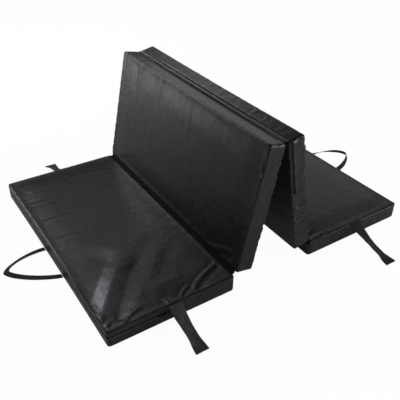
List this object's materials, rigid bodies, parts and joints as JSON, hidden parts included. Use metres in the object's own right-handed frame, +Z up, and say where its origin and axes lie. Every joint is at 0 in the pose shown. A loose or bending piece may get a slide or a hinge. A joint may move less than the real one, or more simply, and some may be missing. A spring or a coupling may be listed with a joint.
{
  "type": "folding exercise mat",
  "caption": "Black foam exercise mat in hinged panels, stood half folded with a tent in the middle, with webbing carry handles, side closure straps and zipped covers.",
  "frame": {"origin": "on the floor, under the middle of the tent and midway between the two long sides", "axes": "+X along the mat from panel a to panel d, +Y along the folds from the near side to the far side, +Z up"},
  "size_m": [1.6833, 1.4006, 0.5552],
  "materials": {
    "cover": "satin coated fabric",
    "foam": "open-cell foam",
    "zip_tape": "matt nylon coil zip",
    "zip_metal": "black painted metal",
    "webbing": "woven webbing",
    "hook_and_loop": "matt hook and loop tape"
  },
  "bodies": {
    "panel_a": {"cover_a": "cover", "foam_core_a": "foam", "zip_chain_a": "zip_tape", "fold_strip_ab": "cover"},
    "panel_b": {"cover_b": "cover", "foam_core_b": "foam", "zip_chain_b": "zip_tape", "fold_strip_bc": "cover"},
    "panel_c": {"cover_c": "cover", "foam_core_c": "foam", "zip_chain_c": "zip_tape", "fold_strip_cd": "cover"},
    "panel_d": {"cover_d": "cover", "foam_core_d": "foam", "zip_chain_d": "zip_tape"},
    "handle_a": {"carry_handle_a": "webbing"},
    "handle_d": {"carry_handle_d": "webbing"},
    "strap_a_near": {"side_strap_a_near": "webbing", "loop_pad_a_near": "hook_and_loop"},
    "strap_a_far": {"side_strap_a_far": "webbing", "loop_pad_a_far": "hook_and_loop"},
    "strap_d_near": {"side_strap_d_near": "webbing", "hook_pad_d_near": "hook_and_loop"},
    "strap_d_far": {"side_strap_d_far": "webbing", "hook_pad_d_far": "hook_and_loop"},
    "slider_a": {"zip_slider_a": "zip_metal"},
    "pull_a": {"zip_pull_a": "zip_metal"},
    "slider_b": {"zip_slider_b": "zip_metal"},
    "pull_b": {"zip_pull_b": "zip_metal"},
    "slider_c": {"zip_slider_c": "zip_metal"},
    "pull_c": {"zip_pull_c": "zip_metal"},
    "slider_d": {"zip_slider_d": "zip_metal"},
    "pull_d": {"zip_pull_d": "zip_metal"}
  },
  "joints": [
    {"name": "fold_ab", "type": "hinge", "parent": "panel_a", "child": "panel_b", "pos_m": [-0.17238, 0, 0.0746], "axis": [0, -1, 0], "range_deg": [-78.5, 101.5], "deforming": ["fold_strip_ab"]},
    {"name": "fold_bc", "type": "hinge", "parent": "panel_b", "child": "panel_c", "pos_m": [0, 0, 0.54467], "axis": [0, 1, 0], "range_deg": [-157, 23], "deforming": ["fold_strip_bc"]},
    {"name": "fold_cd", "type": "hinge", "parent": "panel_c", "child": "panel_d", "pos_m": [0.17238, 0, 0.0746], "axis": [0, -1, 0], "range_deg": [-78.5, 101.5], "deforming": ["fold_strip_cd"]},
    {"name": "handle_a_swing", "type": "hinge", "parent": "panel_a", "child": "handle_a", "pos_m": [-0.66216, -0.018, 0.00557], "axis": [0, 1, 0], "range_deg": [-80, 68]},
    {"name": "handle_d_swing", "type": "hinge", "parent": "panel_d", "child": "handle_d", "pos_m": [0.66216, -0.012, 0.00557], "axis": [0, 1, 0], "range_deg": [-55, 80]},
    {"name": "strap_a_near_swing", "type": "hinge", "parent": "panel_a", "child": "strap_a_near", "pos_m": [-0.41988, -0.5008, 0.06721], "axis": [-1, 0, 0], "range_deg": [-42, 105]},
    {"name": "strap_a_far_swing", "type": "hinge", "parent": "panel_a", "child": "strap_a_far", "pos_m": [-0.41988, 0.5008, 0.06721], "axis": [1, 0, 0], "range_deg": [-42, 105]},
    {"name": "strap_d_near_swing", "type": "hinge", "parent": "panel_d", "child": "strap_d_near", "pos_m": [0.41988, -0.5008, 0.06721], "axis": [1, 0, 0], "range_deg": [-105, 42]},
    {"name": "strap_d_far_swing", "type": "hinge", "parent": "panel_d", "child": "strap_d_far", "pos_m": [0.41988, 0.5008, 0.06721], "axis": [-1, 0, 0], "range_deg": [-105, 42]},
    {"name": "slider_a_run", "type": "slide", "parent": "panel_a", "child": "slider_a", "axis": [-1, 0, 0], "range_m": [0, 0.182]},
    {"name": "pull_a_swing", "type": "hinge", "parent": "slider_a", "child": "pull_a", "pos_m": [-0.45988, -0.5037, 0.045], "axis": [0, 0, 1], "range_deg": [0, 180]},
    {"name": "slider_b_run", "type": "slide", "parent": "panel_b", "child": "slider_b", "axis": [0.1994, 0, 0.9799], "range_m": [0, 0.182]},
    {"name": "pull_b_swing", "type": "hinge", "parent": "slider_b", "child": "pull_b", "pos_m": [-0.05764, 0.5037, 0.34464], "axis": [0.9799, 0, -0.1994], "range_deg": [0, 180]},
    {"name": "slider_c_run", "type": "slide", "parent": "panel_c", "child": "slider_c", "axis": [-0.1994, 0, 0.9799], "range_m": [0, 0.182]},
    {"name": "pull_c_swing", "type": "hinge", "parent": "slider_c", "child": "pull_c", "pos_m": [0.05764, -0.5037, 0.34464], "axis": [-0.9799, 0, -0.1994], "range_deg": [0, 180]},
    {"name": "slider_d_run", "type": "slide", "parent": "panel_d", "child": "slider_d", "axis": [1, 0, 0], "range_m": [0, 0.182]},
    {"name": "pull_d_swing", "type": "hinge", "parent": "slider_d", "child": "pull_d", "pos_m": [0.45988, 0.5037, 0.045], "axis": [0, 0, 1], "range_deg": [0, 180]}
  ]
}
